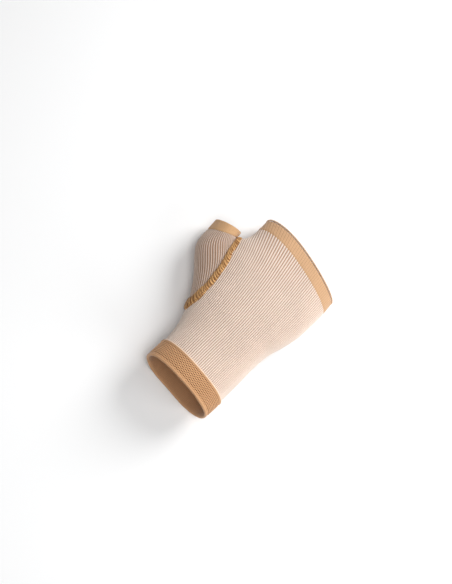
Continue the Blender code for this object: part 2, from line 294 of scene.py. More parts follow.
def ring_solid(name, grid, u, v, materials, material_rows=None, pitch=None):
    """A closed solid from a grid that wraps both ways: rows go round the profile, columns round the limb.
    u has a value for each column and one more, v one row for each row of the grid and one more."""
    rows, columns = grid.shape[:2]
    r, c = np.meshgrid(np.arange(rows), np.arange(columns), indexing="ij")
    r2, c2 = (r + 1) % rows, (c + 1) % columns
    quads = np.stack([r * columns + c, r * columns + c2, r2 * columns + c2, r2 * columns + c], axis=-1)
    v = np.asarray(v, float)
    v = np.broadcast_to(v[:, None] if v.ndim == 1 else v, (rows + 1, columns))
    around = np.asarray(u, float)
    uvs = np.stack([
        np.stack([around[c], v[r, c]], axis=-1), np.stack([around[c + 1], v[r, c2]], axis=-1),
        np.stack([around[c + 1], v[r + 1, c2]], axis=-1), np.stack([around[c], v[r + 1, c]], axis=-1),
    ], axis=2)
    index = None if material_rows is None else np.repeat(np.asarray(material_rows), columns)
    pitch = None if pitch is None else np.asarray(pitch).ravel()
    return make_piece(name, grid.reshape(-1, 3), quads.reshape(-1, 4).tolist(), uvs, materials, index, pitch)


def rib_profile(phase, pitch, rib):
    """Height of the knit across a rib: phase 0 and 1 are grooves, 0.5 the crest; pitch is in mm."""
    from_crest = np.abs(phase - 0.5) * pitch / np.minimum(rib[0], rib[1] * pitch)
    swell = np.clip(1 - np.minimum(from_crest, 1) ** 2, 0, 1) ** 0.6
    return RIB_GROOVE + (RIB_CREST - RIB_GROOVE) * swell


# ---------------------------------------------------------------- materials


def plug(tree, value, socket):
    """Links or sets a node's input."""
    if isinstance(value, bpy.types.NodeSocket):
        tree.links.new(value, socket)
    else:
        socket.default_value = value


def maths(tree, operation, *values):
    """The result of a Math node."""
    node = tree.nodes.new("ShaderNodeMath")
    node.operation = operation
    for value, socket in zip(values, node.inputs):
        plug(tree, value, socket)
    return node.outputs[0]


def smooth_step(tree, value, low, high, start=0.0, end=1.0):
    """start below low, end above high, and a smooth step between."""
    node = tree.nodes.new("ShaderNodeMapRange")
    node.interpolation_type = "SMOOTHSTEP"
    settings = {"Value": value, "From Min": low, "From Max": high, "To Min": start, "To Max": end}
    for name, item in settings.items():
        plug(tree, item, node.inputs[name])
    return node.outputs[0]


def mixed(tree, share, a, b, mode="MIX"):
    """Colour a with this share of colour b."""
    node = tree.nodes.new("ShaderNodeMix")
    node.data_type = "RGBA"
    node.blend_type = mode
    for item, socket in ((share, node.inputs[0]), (a, node.inputs[6]), (b, node.inputs[7])):
        plug(tree, item, socket)
    return node.outputs[2]


def noise(tree, place, scale, detail=2.0):
    """Noise of 0 to 1; scale is in patches to the metre."""
    node = tree.nodes.new("ShaderNodeTexNoise")
    tree.links.new(place, node.inputs["Vector"])
    node.inputs["Scale"].default_value = scale
    node.inputs["Detail"].default_value = detail
    return node.outputs["Fac"]


def knit_places(tree):
    """(u, v, position): the knit's own coordinates, in ribs and stitches, and the point in space."""
    uv = tree.nodes.new("ShaderNodeUVMap")
    uv.uv_map = "knit"
    parts = tree.nodes.new("ShaderNodeSeparateXYZ")
    tree.links.new(uv.outputs[0], parts.inputs[0])
    place = tree.nodes.new("ShaderNodeTexCoord").outputs["Object"]
    return parts.outputs["X"], parts.outputs["Y"], place


def colour(red, green, blue):
    """A linear colour from sRGB values of 0 to 255."""
    def linear(c):
        c /= 255
        return c / 12.92 if c <= 0.04045 else ((c + 0.055) / 1.055) ** 2.4

    return (linear(red), linear(green), linear(blue), 1.0)


def fabric(name, sheen=0.25, roughness=0.88):
    """A new cloth material and its node tree and shader, with the values that are the same all over."""
    material = bpy.data.materials.new(name)
    material.use_nodes = True
    tree = material.node_tree
    shader = tree.nodes["Principled BSDF"]
    shader.inputs["Roughness"].default_value = roughness
    shader.inputs["Specular IOR Level"].default_value = 0.25
    shader.inputs["Sheen Weight"].default_value = sheen
    shader.inputs["Sheen Roughness"].default_value = 0.45
    return material, tree, shader


def finish_fabric(tree, shader, base, height, depth, place):
    """Adds the yarn's unevenness to a colour, and the height as bump, with depth in mm."""
    patches = smooth_step(tree, noise(tree, place, 45.0), 0.3, 0.7, 0.95, 1.0)
    fibres = smooth_step(tree, noise(tree, place, 2600.0, 3.0), 0.25, 0.75, 0.9, 1.04)
    shade = maths(tree, "MULTIPLY", patches, fibres)
    grey = tree.nodes.new("ShaderNodeCombineColor")
    for socket in grey.inputs:
        tree.links.new(shade, socket)
    tree.links.new(mixed(tree, 1.0, base, grey.outputs[0], "MULTIPLY"), shader.inputs["Base Color"])
    bump = tree.nodes.new("ShaderNodeBump")
    bump.inputs["Strength"].default_value = 0.7
    bump.inputs["Distance"].default_value = depth * MM
    fuzz = maths(tree, "MULTIPLY", noise(tree, place, 3200.0, 2.0), 0.35)
    tree.links.new(maths(tree, "ADD", height, fuzz), bump.inputs["Height"])
    tree.links.new(bump.outputs[0], shader.inputs["Normal"])


def random_of(tree, number):
    """A random number from 0 to 1 for each whole number."""
    node = tree.nodes.new("ShaderNodeTexWhiteNoise")
    node.noise_dimensions = "1D"
    tree.links.new(maths(tree, "FLOOR", number), node.inputs["W"])
    return node.outputs["Value"]


def from_middle(tree, value):
    """How far a value is from the middle between two whole numbers: 0 to 0.5."""
    return maths(tree, "ABSOLUTE", maths(tree, "SUBTRACT", maths(tree, "FRACT", value), 0.5))


def stitches(tree, u, v, slant):
    """(how far from the middle of its rib, 0 to 1; how full its stitch is, 0 to 1)."""
    side = maths(tree, "MULTIPLY", from_middle(tree, u), 2.0)
    lifted = maths(tree, "ADD", v, maths(tree, "MULTIPLY", side, slant))
    return side, smooth_step(tree, from_middle(tree, lifted), 0.5, 0.22)


def ribbed_knit(name, rib_width, yarn, ground_yarn):
    """Cream ribs with stitches slanting to both sides, over a tan ground that shows in the grooves. Each
    yarn is a pair of colours: between its stitches, darker as painted shade in the gaps, and on them."""
    material, tree, shader = fabric(name, sheen=0.3)
    u, v, place = knit_places(tree)
    side, full = stitches(tree, u, v, 0.45)
    spacing = tree.nodes.new("ShaderNodeAttribute")
    spacing.attribute_name = "pitch"
    pitch = spacing.outputs["Fac"]
    half = maths(tree, "MINIMUM", rib_width[0], maths(tree, "MULTIPLY", pitch, rib_width[1]))
    from_crest = maths(tree, "MULTIPLY", side, maths(tree, "MULTIPLY", pitch, 0.5))
    in_groove = smooth_step(tree, maths(tree, "DIVIDE", from_crest, half), 0.78, 1.05)
    # between the stitches the rib takes yarn[0], a darker colour that is painted shade in the gaps
    rib = mixed(tree, full, *yarn)
    rib = mixed(tree, maths(tree, "MULTIPLY", random_of(tree, u), 0.3), rib, yarn[0])
    # the ground's darker colour between its stitches is painted shade in the gaps too
    ladder = smooth_step(tree, maths(tree, "SINE", maths(tree, "MULTIPLY", v, 2 * math.pi)), -0.6, 0.8)
    ground = mixed(tree, ladder, *ground_yarn)
    base = mixed(tree, in_groove, rib, ground)
    height = maths(tree, "MULTIPLY", full, maths(tree, "SUBTRACT", 1.0, in_groove))
    finish_fabric(tree, shader, base, height, 0.22, place)
    return material


def knit_back():
    """The inner face of the ribbed knit: flat wales of cream and tan."""
    material, tree, shader = fabric("knit_back", sheen=0.15)
    u, v, place = knit_places(tree)
    side, full = stitches(tree, maths(tree, "MULTIPLY", u, 2.0), v, -0.3)
    base = mixed(tree, full, colour(168, 128, 100), colour(222, 196, 172))
    base = mixed(tree, smooth_step(tree, side, 0.6, 1.0), base, colour(176, 134, 102))
    finish_fabric(tree, shader, base, full, 0.15, place)
    return material


def band_knit(name, light, dark, stripes):
    """Fine plain knit for the hemmed bands: narrow wales, darker at their edges and between stitches as
    painted shade, with every other rib's line showing through.
    """
    material, tree, shader = fabric(name, sheen=0.25)
    u, v, place = knit_places(tree)
    side, full = stitches(tree, maths(tree, "MULTIPLY", u, 2.0), maths(tree, "MULTIPLY", v, 1.6), 0.5)
    wale = smooth_step(tree, side, 0.45, 1.0)
    line = maths(tree, "MULTIPLY", smooth_step(tree, from_middle(tree, u), 0.3, 0.5), stripes)
    # darker towards the wales' edges and between the stitches: painted shade in the gaps of the knit
    base = mixed(tree, maths(tree, "MULTIPLY", wale, 0.35), light, dark)
    base = mixed(tree, maths(tree, "MULTIPLY", maths(tree, "SUBTRACT", 1.0, full), 0.22), base, dark)
    base = mixed(tree, line, base, dark)
    height = maths(tree, "MULTIPLY", full, maths(tree, "SUBTRACT", 1.0, wale))
    finish_fabric(tree, shader, base, height, 0.12, place)
    return material


def cuff_knit():
    """Bird's-eye knit: tan, with rows of small dark eyes set between each other."""
    material, tree, shader = fabric("cuff_knit", sheen=0.2)
    u, v, place = knit_places(tree)
    eye, edge = cuff_eyes(tree, u, v)
    yarn = smooth_step(tree, maths(tree, "SINE", maths(tree, "MULTIPLY", u, 4 * math.pi)), -0.8, 0.8)
    base = mixed(tree, yarn, colour(184, 132, 86), colour(240, 188, 140))
    base = mixed(tree, edge, base, colour(206, 158, 116))
    base = mixed(tree, smooth_step(tree, v, *PALE_LINE), base, colour(236, 208, 184))
    base = mixed(tree, eye, base, colour(80, 42, 20))
    finish_fabric(tree, shader, base, maths(tree, "SUBTRACT", 1.0, eye), 0.2, place)
    return material


def cuff_eyes(tree, u, v):
    """(how much of an eye, how much of the plain edge) at this place on the cuff. v counts rows of eyes."""
    row = maths(tree, "FLOOR", v)
    shifted = maths(tree, "ADD", u, maths(tree, "MULTIPLY", row, 0.5))
    across = maths(tree, "SUBTRACT", maths(tree, "FRACT", shifted), 0.5)
    along = maths(tree, "SUBTRACT", maths(tree, "FRACT", v), 0.5)
    across_squared = maths(tree, "MULTIPLY", across, across)
    spread = maths(tree, "ADD", across_squared, maths(tree, "MULTIPLY", along, along))
    eye = smooth_step(tree, spread, 0.16, 0.03)
    edge = maths(tree, "ADD", smooth_step(tree, v, *PLAIN_BEFORE[::-1]), smooth_step(tree, v, *PLAIN_AFTER))
    return maths(tree, "MULTIPLY", eye, maths(tree, "SUBTRACT", 1.0, edge)), edge


def lining_knit():
    """The cuff's inner ply: plain fine tan knit."""
    return band_knit("cuff_lining_knit", colour(204, 156, 116), colour(150, 104, 68), 0.2)


def thread(name, light, dark, twist):
    """Spun thread: plies that turn round it twist times in a stitch, each stitch with its own shade. At the
    overlock's small twist the plies hardly turn, so each thread is painted lighter on top and darker
    underneath: painted shade. u counts stitches."""
    material, tree, shader = fabric(name, sheen=0.2, roughness=0.7)
    u, v, place = knit_places(tree)
    turned = maths(tree, "ADD", maths(tree, "MULTIPLY", u, twist), v)
    ply = smooth_step(tree, maths(tree, "SINE", maths(tree, "MULTIPLY", turned, 2 * math.pi)), -0.9, 0.5)
    # darker in patches of noise
    dark_patches = smooth_step(tree, noise(tree, place, 140.0), 0.5, 0.72)
    base = mixed(tree, ply, dark, light)
    base = mixed(tree, smooth_step(tree, random_of(tree, u), 0.35, 1.0, 0.0, 0.65), base, dark)
    base = mixed(tree, maths(tree, "MULTIPLY", dark_patches, 0.5), base, dark)
    finish_fabric(tree, shader, base, ply, 0.08, place)
    return material


def covered_rubber():
    """Rubber threads wound with tan yarn."""
    winding = 0.8 * MM
    material, tree, shader = fabric("covered_rubber", sheen=0.1, roughness=0.6)
    place = tree.nodes.new("ShaderNodeTexCoord").outputs["Object"]
    parts = tree.nodes.new("ShaderNodeSeparateXYZ")
    tree.links.new(place, parts.inputs[0])
    cords = maths(tree, "SINE", maths(tree, "MULTIPLY", parts.outputs["Y"], 2 * math.pi / winding))
    cord = smooth_step(tree, cords, -0.8, 0.6)
    base = mixed(tree, cord, colour(150, 112, 80), colour(206, 176, 146))
    finish_fabric(tree, shader, base, cord, 0.15, place)
    return material


# ---------------------------------------------------------------- pieces


def rib_columns(ribs):
    """(column places from 0 to 1, phase of each within its rib), without the closing column."""
    phase = np.tile(RIB_COLUMNS, ribs)
    return (np.repeat(np.arange(ribs), len(RIB_COLUMNS)) + phase) / ribs, phase


def trim_row(places, y):
    """Moves the two columns nearest the thumb hole's edges at y onto them. Gives the first column kept, on
    the back of the hand, and the last, on the palm and a turn further on."""
    count, around = len(places), girth(y)
    from_slit = (places + around / 2) % around - around / 2
    kept = []
    for edge in (hole_half(y), -hole_half(y)):
        column = int(np.argmin(np.abs(from_slit - edge)))
        places[column] = edge
        kept.append((column + count // 2) % count - count // 2)
    return kept[0], kept[1] + count


def sheet_faces(kept, count):
    """The faces of one side of the sleeve, as lists of (row, column). kept has a row's first and last
    columns, or None for a whole row; columns below 0 or past count are counted on round the sleeve."""
    faces = []
    for r in range(len(kept) - 1):
        here, ahead = kept[r], kept[r + 1]
        if here is None or ahead is None:
            here = ahead = (0, count)
        faces += [[(r, k), (r, k + 1), (r + 1, k + 1), (r + 1, k)]
                  for k in range(max(here[0], ahead[0]), min(here[1], ahead[1]))]
        for side in (0, 1):
            a, b = here[side], ahead[side]
            if a != b and (a < b) == (side == 0):
                faces.append([(r, k) for k in range(min(a, b), max(a, b) + 1)] + [(r + 1, b)])
            elif a != b:
                faces.append([(r, a)] + [(r + 1, k) for k in range(max(a, b), min(a, b) - 1, -1)])
    return faces


def make_sleeve(knit, back):
    """The ribbed tube with the thumb hole cut through its ribs, as one closed sheet of two faces."""
    columns, phase = rib_columns(RIBS)
    per, every = len(RIB_COLUMNS), len(RIB_COLUMNS) // 2  # columns to a rib; the inside has every third
    under_cuff, to_band = 0.9, 1.2
    hole_rows = HOLE_MIDDLE - HOLE_HALF_LENGTH * np.cos(np.pi * np.arange(49) / 48)
    wrist_rows = np.linspace(CUFF_END - under_cuff, hole_rows[0], 20)[:-1]
    knuckle_rows = np.linspace(hole_rows[-1], BAND_START - to_band, 13)[1:]
    rib_end_rows = BAND_START + np.array([-0.7, -0.3, 0.0, 0.2])
    ys = np.concatenate([wrist_rows, hole_rows, knuckle_rows, rib_end_rows])
    first_open, last_open = len(wrist_rows), len(wrist_rows) + len(hole_rows) - 1

    sides = []
    for step in (1, every):
        places = [rib_places(y, columns[::step]) for y in ys]
        kept = [None] * len(ys)
        for r in range(first_open, last_open + 1):
            kept[r] = trim_row(places[r], ys[r])
        base = np.array([ring(y, p / girth(y)) for p, y in zip(places, ys)])
        sides.append((base, kept, normals(base, False, True)))
    (base, kept, out), (inner_base, inner_kept, inner_out) = sides

    run, inner_run = lengths(base), lengths(inner_base)
    pitch = across_ribs(base)
    fade_end, fade_length = BAND_START + 0.3, 1.1  # where the ribs sink to the ground of the knit
    rib_end = np.clip((fade_end - ys) / fade_length, 0, 1) ** 0.5
    height = RIB_GROOVE + (rib_profile(phase[None, :], pitch, SLEEVE_RIB) - RIB_GROOVE) * rib_end[:, None]
    outer = base + height[:, :, None] * out
    inner = inner_base - SLEEVE_THICK * inner_out
    outer[:, :, 2] = np.maximum(outer[:, :, 2], 0.0)
    inner[:, :, 2] = np.maximum(inner[:, :, 2], SLEEVE_THICK)
    points = np.concatenate([outer.reshape(-1, 3), inner.reshape(-1, 3)])
    faces, uvs, material_of = [], [], []

    def corner(place, inside):
        """(index, u, v) for a (row, column) of the outside or the inside."""
        row, column = place
        rib_steps = column * every if inside else column
        u = rib_steps // per + RIB_COLUMNS[rib_steps % per]
        if inside:
            column %= inner.shape[1]
            index = outer.shape[0] * outer.shape[1] + row * inner.shape[1] + column
            return index, u, inner_run[row, column] / STITCH
        column %= outer.shape[1]
        return row * outer.shape[1] + column, u, run[row, column] / STITCH

    def add(corners, material):
        faces.append([c[0] for c in corners])
        uvs.extend(c[1:] for c in corners)
        material_of.append(material)

    for face in sheet_faces(kept, len(columns)):
        add([corner(p, False) for p in face], 0)
    for face in sheet_faces(inner_kept, inner.shape[1]):
        add([corner(p, True) for p in face[::-1]], 1)
    for r in range(first_open, last_open):
        for side, order in ((0, 1), (1, -1)):
            wall = [corner((r, kept[r][side]), False), corner((r + 1, kept[r + 1][side]), False),
                    corner((r + 1, inner_kept[r + 1][side]), True), corner((r, inner_kept[r][side]), True)]
            add(wall[::order], 1)
    for r, order in ((0, 1), (len(ys) - 1, -1)):
        for k in range(inner.shape[1]):
            rim = [corner((r, k), True), corner((r, k + 1), True)]
            rim += [corner((r, j), False) for j in range(every * k + every, every * k - 1, -1)]
            add(rim[::order], 1)
    used, renumbered = np.unique(np.concatenate([np.array(f) for f in faces]), return_inverse=True)
    splits = np.cumsum([len(f) for f in faces])[:-1]
    faces = [f.tolist() for f in np.split(renumbered, splits)]
    spread = np.concatenate([pitch.ravel(), pitch[:, ::every].ravel()])[used]
    return make_piece("ribbed_sleeve", points[used], faces, uvs, [knit, back], material_of, spread)


def across_ribs(base):
    """The rib pitch at each point of a grid whose columns wrap, measured square to the ribs."""
    half = len(RIB_COLUMNS) // 2
    step = np.roll(base, -half, 1) - np.roll(base, half, 1)
    along = unit(np.gradient(base, axis=0))
    square = step - (step * along).sum(axis=2, keepdims=True) * along
    return np.linalg.norm(square, axis=2)


def make_stall(knit, back):
    """The thumb stall, from under the seam to inside the thumb band."""
    columns, phase = rib_columns(STALL_RIBS)
    every, rows = 4, 49  # the inside has every fourth row
    from_edge, most_share, least_pitch, most_pitch = 0.5, 0.35, 0.6, 2.4
    ribs = stall_ribs(-2 * np.pi * columns)
    first = np.minimum(most_share, from_edge / np.linalg.norm(ribs[3] - ribs[0], axis=1))
    base = np.array([on_ribs(ribs, first + (1 - first) * s) for s in np.linspace(0, 1, rows)])
    out = normals(base, False, True)
    pitch = np.clip(across_ribs(base), least_pitch, most_pitch)
    height = rib_profile(phase[None, :], pitch, STALL_RIB)
    outer = base + height[:, :, None] * out
    inner = base[::-every] - STALL_THICK * out[::-every]
    grid = np.concatenate([outer, inner])
    run = lengths(base)
    u = np.append(columns, 1.0) * STALL_RIBS
    v = np.concatenate([run, run[::-every], run[:1]]) / STITCH
    spread = np.concatenate([pitch, pitch[::-every]])
    sides = [0] * (rows - 1) + [1] * (len(inner) + 1)
    return ring_solid("thumb_stall_knit", grid, u, v, [knit, back], sides, spread)


def cuff_profile():
    """The cuff's section as (y, height) points: lip, outside, roll, the step under it, and the lining."""
    lip_radius, lip_height = 1.15, 0.1
    roll_length, roll_half, roll_height = 1.3, 0.72, 0.85
    turn = np.radians(np.linspace(-80, 90, 12))
    y = CUFF_START + lip_radius - lip_radius * np.cos(turn)
    lip = np.stack([y, lip_height + lip_radius * np.sin(turn)], axis=1)

    across = np.linspace(0, 1, 46)[1:-1]
    y = CUFF_START + lip_radius + across * (CUFF_END - CUFF_START - lip_radius - roll_length)
    height = 1.25 + 0.12 * np.sin(np.pi * across) + 0.2 * across**6
    for groove, width in ((0.1, 0.06), (0.9, 0.05)):
        height -= 0.25 * np.exp(-((across - groove) / width) ** 2)
    outside = np.stack([y, height], axis=1)

    turn = np.radians(np.linspace(90, -75, 11))
    y = CUFF_END - roll_length + roll_length * np.cos(turn)
    roll = np.stack([y, roll_height + roll_half * np.sin(turn)], axis=1)
    under = np.array([(CUFF_END - 1.15, 0.3), (CUFF_END - 1.25, -0.5), (CUFF_END - 1.2, -1.2)])
    y = np.linspace(CUFF_END - 1.7, CUFF_START + 1.6, 16)
    lining = np.stack([y, -1.45 - 0.15 * np.sin(np.pi * np.linspace(0, 1, 16))], axis=1)
    return lip, outside, roll, under, lining


def make_cuff(knit, lining):
    """The turned-back cuff: bird's-eye knit between two rolls, and its plain lining."""
    top, unevenness = 1.5, 0.12
    columns = np.arange(CUFF_CELLS * CELL_COLUMNS) / (CUFF_CELLS * CELL_COLUMNS)
    parts = cuff_profile()
    profile = np.concatenate(parts)
    shown = sum(len(part) for part in parts[:3])
    grid = np.array([ring(y, columns, proud=h, top=top) for y, h in profile])
    out = normals(grid, True, True)
    v = np.clip((profile[:, 0] - CUFF_START) / (CUFF_END - CUFF_START), 0, 1) * EYE_ROWS
    u = columns * CUFF_CELLS
    across = (u[None, :] + 0.5 * np.floor(v)[:, None]) % 1 - 0.5
    along = (v % 1)[:, None] - 0.5
    eye = np.clip(1 - (across**2 + along**2) / EYE_SPREAD, 0, 1)
    before = np.clip((PLAIN_BEFORE[1] - v) / (PLAIN_BEFORE[1] - PLAIN_BEFORE[0]), 0, 1)
    after = np.clip((v - PLAIN_AFTER[0]) / (PLAIN_AFTER[1] - PLAIN_AFTER[0]), 0, 1)
    deep = EYE_DEPTH * eye * (1 - np.clip(before + after, 0, 1))[:, None]
    deep[shown:] = 0
    uneven = unevenness * ripple(columns, 0.04, seed=5)
    grid = grid + (uneven[None, :, None] - deep[:, :, None]) * out
    grid[:, :, 2] = np.maximum(grid[:, :, 2], 0.0)
    sides = [0] * shown + [1] * (len(profile) - shown)
    u, v = np.append(u, CUFF_CELLS), np.append(v, v[0])
    return ring_solid("wrist_cuff", grid, u, v, [knit, lining], sides)


def hem_v(section):
    """Stitches along a hem's section, for each of its points and once more for the first."""
    run = distances(section)
    return np.append(run, run[-1] + 0.5) / STITCH


def make_knuckle_band(knit, hem_shade_knit):
    """The hemmed band over the knuckles, ribbed as finely as its knit."""
    top, height, depth = 0.6, 0.3, -1.4
    columns, phase = rib_columns(RIBS)
    start, end = BAND_START - 0.6, BAND_END - 1.1
    outside = [(start, -0.34), (start + 0.25, -0.2), (start + 0.7, -0.04), (start + 1.2, 0.14),
               (start + 1.8, 0.26)]
    middle = [(y, height) for y in np.linspace(start + 2.4, end - 1.2, 22)]
    hem = [(end - 0.95, 0.28), (end - 0.75, 0.1), (end - 0.5, -0.25), (end - 0.1, -0.45),
           (end + 0.1, -0.6), (end, -0.95), (end - 0.4, -1.25)]
    inside = [(y, depth) for y in np.linspace(end - 1.0, start + 0.5, 10)]
    tail = [(start - 0.05, -1.3), (start - 0.1, -0.8)]
    profile = np.array([*outside, *middle, *hem, *inside, *tail])
    grid = np.array([ring(y, rib_places(y, columns) / girth(y), proud=h, top=top) for y, h in profile])
    out = normals(grid, True, True)
    wales = 0.5 - 0.5 * np.cos(4 * np.pi * phase)  # two to a rib
    broad = 0.5 - 0.5 * np.cos(2 * np.pi * phase)
    relief = 0.09 * wales + 0.07 * broad - 0.08
    shown = len(outside) + len(middle) + 1
    fade = np.zeros(len(profile))
    fade[:shown] = 1
    grid = grid + (fade[:, None] * relief[None, :])[:, :, None] * out
    grid[:, :, 2] = np.maximum(grid[:, :, 2], 0.0)
    u = np.append(columns, 1.0) * RIBS
    # the hem's turned-under rows and the inside take the dark second material: painted shade in the fold under
    # the hem
    sides = [0] * shown + [1] * (len(profile) - shown)
    return ring_solid("knuckle_band", grid, u, hem_v(profile), [knit, hem_shade_knit], sides)


def tube_along(line, up, radius, around, closed):
    """Rings of points round a line of points; up gives a direction out of the surface at each."""
    along = unit(np.roll(line, -1, 0) - np.roll(line, 1, 0)) if closed else unit(np.gradient(line, axis=0))
    up = unit(up - (up * along).sum(axis=1, keepdims=True) * along)
    side = np.cross(along, up)
    turn = 2 * np.pi * np.arange(around) / around
    c = np.cos(turn)[None, :, None] * side[:, None, :]
    s = np.sin(turn)[None, :, None] * up[:, None, :]
    return line[:, None, :] + radius * (c + s)


def round_line(line):
    """How far along a closed line each point is, and its whole length."""
    run = distances(line)
    return run, run[-1] + np.linalg.norm(line[0] - line[-1])


def make_knuckle_edge(material):
    """The thin rolled selvage of the knuckle band, pinched by its overcast stitches."""
    stitch, radius, around = 0.9, 0.6, 10
    pinch_depth, pinch_width = 0.16, 0.22  # as shares of the radius and of a stitch
    y, proud, top = BAND_END - 0.62, 0.1, 0.72
    places = 880
    columns = np.arange(places) / places
    line = ring(y, columns, proud=proud, top=top)
    up = unit(ring(y, columns, proud=proud + 1.0, top=top) - line + 1e-6)
    run, total = round_line(line)
    count = round(total / stitch)
    place = run / total * count
    grid = tube_along(line, up, radius, around, True)
    turn = np.arange(around) / around
    lean = (place[:, None] + turn[None, :]) % 1 - 0.5
    pinch = 1 - pinch_depth * np.clip(1 - np.abs(lean) / pinch_width, 0, 1)
    grid = line[:, None, :] + (grid - line[:, None, :]) * pinch[:, :, None]
    grid[:, :, 2] = np.maximum(grid[:, :, 2], 0.0)
    turned = np.transpose(grid, (1, 0, 2))
    v = np.arange(around + 1) / around
    return ring_solid("knuckle_band_edge", turned, np.append(place, count), v, [material])


def make_thumb_band(knit):
    """The stall's hemmed end; its section is in shares of the band's length and heights."""
    cells = 60
    columns = np.arange(cells * CELL_COLUMNS) / (cells * CELL_COLUMNS)
    turns = -2 * np.pi * columns
    outside = [(-0.05, -0.2), (-0.02, 0.15), (0.03, 0.4), (0.09, 0.5)]
    middle = [(share, 0.5) for share in np.linspace(0.16, 0.82, 14)]
    roll = [(0.88, 0.52), (0.93, 0.55), (0.965, 0.5), (0.99, 0.3),
            (1.0, 0.0), (0.995, -0.4), (0.975, -0.8), (0.93, -1.05)]
    inside = [(share, -1.25) for share in np.linspace(0.85, 0.05, 10)]
    tail = [(-0.03, -1.15), (-0.06, -0.7)]
    profile = np.array([*outside, *middle, *roll, *inside, *tail])
    grid = np.array([thumb_ring(share, turns, proud) for share, proud in profile])
    out = normals(grid, True, True)
    relief = 0.1 * (0.5 - 0.5 * np.cos(2 * np.pi * ((columns * cells) % 1))) - 0.05
    fade = np.zeros(len(profile))
    fade[1:len(outside) + len(middle) + 4] = 1
    grid = grid + (fade[:, None] * relief[None, :])[:, :, None] * out
    return ring_solid("thumb_band", grid, np.append(columns, 1.0) * cells, hem_v(grid[:, 0]), [knit])


def sleeve_normals(turns):
    """Directions out of the sleeve at these places on the hole's edge."""
    outs = []
    step = 0.002  # of the way round the sleeve
    for a in turns:
        y = HOLE_MIDDLE + HOLE_HALF_LENGTH * math.cos(a)
        share = hole_share(y) if math.sin(a) >= 0 else 1 - hole_share(y)
        share = min(max(share, step), 1 - step)
        round_it = np.diff(ring(y, [share - step, share + step]), axis=0)[0]
        along_it = ring(y + 1, [share])[0] - ring(y - 1, [share])[0]
        outs.append(np.cross(round_it, along_it))
    return unit(np.array(outs))


def seam_section():
    """The hole's edge as a line of points, the direction over the sleeve from each, and a function for
    points across the seam."""
    turns = -2 * np.pi * np.arange(SEAM_PLACES) / SEAM_PLACES
    line = np.array([hole_point(a) for a in turns])
    edge = unit(np.roll(line, -1, 0) - np.roll(line, 1, 0))
    sleeve_out = sleeve_normals(turns)
    away = unit(np.cross(sleeve_out, edge))
    away *= np.sign(((line - line.mean(axis=0)) * away).sum(axis=1))[:, None]
    half = SEAM_HALF_WIDTH * (1 + 0.09 * np.sin(5 * turns + 1.0) + 0.07 * np.sin(11 * turns))

    ribs = stall_ribs(turns)
    reach = np.minimum(half / np.linalg.norm(ribs[3] - ribs[0], axis=1), 0.45)
    stall_side = on_ribs(ribs, reach)
    ahead = unit(on_ribs(ribs, reach + 0.01) - stall_side)
    stall_out = unit(np.cross(ahead, edge))
    stall_out *= np.sign((stall_out * sleeve_out).sum(axis=1))[:, None]
    sleeve_side = line + half[:, None] * away
    crest = line + SEAM_CREST * unit(sleeve_out + stall_out)

    def across(s, lift):
        """Points on the seam and directions out of it: s is -1 at its stall side, 1 at its sleeve side."""
        t = (s + 1) / 2
        path = (1 - t) ** 2 * stall_side + 2 * t * (1 - t) * crest + t**2 * sleeve_side
        up = unit((1 - t) * stall_out + t * sleeve_out)
        return path + lift * up, up

    return line, away, across


def tape_lift(s):
    """How far the tape's upper face stands off the seam's section at s."""
    return TAPE_LIFT * (1 - 0.75 * s**4)


def make_seam_tape(line, across, material):
    """The flat tape of knit edges under the seam's threads."""
    faces = [(s, tape_lift(s)) for s in np.linspace(1, -1, 15)]
    faces += [(s, TAPE_UNDER) for s in np.linspace(-0.9, 0.9, 5)]
    grid = np.array([across(s, lift)[0] for s, lift in faces])
    run, total = round_line(line)
    v = np.arange(len(grid) + 1) / 4.0
    return ring_solid("thumb_seam_tape", grid, np.append(run, total), v, [material])


def make_seam_stitches(line, away, across, material):
    """The overlock threads across the seam, each with its own place, lean, length and thickness."""
    around, steps = 6, 11
    uneven_place, lean, uneven_lean, uneven_length, uneven_radius = 0.35, 0.5, 0.6, 0.13, 0.08
    end_sink, sink_from = 0.45, 0.8  # the ends sink into the knit
    above_tape = 0.1
    run, total = round_line(line)
    number = round(total / THREAD_SPACING)
    rng = np.random.default_rng(11)
    centres = (np.arange(number) + uneven_place * rng.uniform(-1, 1, number)) / number * total
    distances_round = np.append(run, total)

    def at(values, where):
        """The vector at this distance along the closed line, from one for each of its points."""
        closed = np.concatenate([values, values[:1]])
        return np.array([np.interp(where, distances_round, closed[:, k]) for k in range(3)])

    places = np.linspace(-1, 1, steps)
    sections = [across(s, tape_lift(s) + above_tape) for s in places]
    points, faces, uvs = [], [], []
    for thread_number, centre in enumerate(centres):
        thread_lean = lean + uneven_lean * rng.uniform(-1, 1)
        longer = uneven_length * rng.uniform(-1, 1)
        radius = THREAD_RADIUS + uneven_radius * rng.uniform(-1, 1)
        path, ups = [], []
        for s, (spots, up_ways) in zip(places, sections):
            where = (centre + thread_lean * s) % total
            up = at(up_ways, where)
            sink = end_sink * max(0.0, abs(s) - sink_from) / (1 - sink_from)
            path.append(at(spots, where) - sink * up + longer * s * at(away, where))
            ups.append(up)
        first = len(points)
        points.extend(tube_along(np.array(path), np.array(ups), radius, around, False).reshape(-1, 3))
        for k in range(steps - 1):
            near, far = thread_number + (k + 0.5) / steps, thread_number + (k + 1) / steps
            for j in range(around):
                a, b = first + k * around + j, first + k * around + (j + 1) % around
                faces.append([a, a + around, b + around, b])
                low, high = j / around, (j + 1) / around
                uvs.extend([(near, low), (far, low), (far, high), (near, high)])
        for ring_start, order in ((first, 1), (first + (steps - 1) * around, -1)):
            faces.append([ring_start + j for j in range(around)][::order])
            uvs.extend([(thread_number + 0.5, 0.0)] * around)
    return make_piece("thumb_seam_stitches", points, faces, uvs, [material])


# ---------------------------------------------------------------- the set


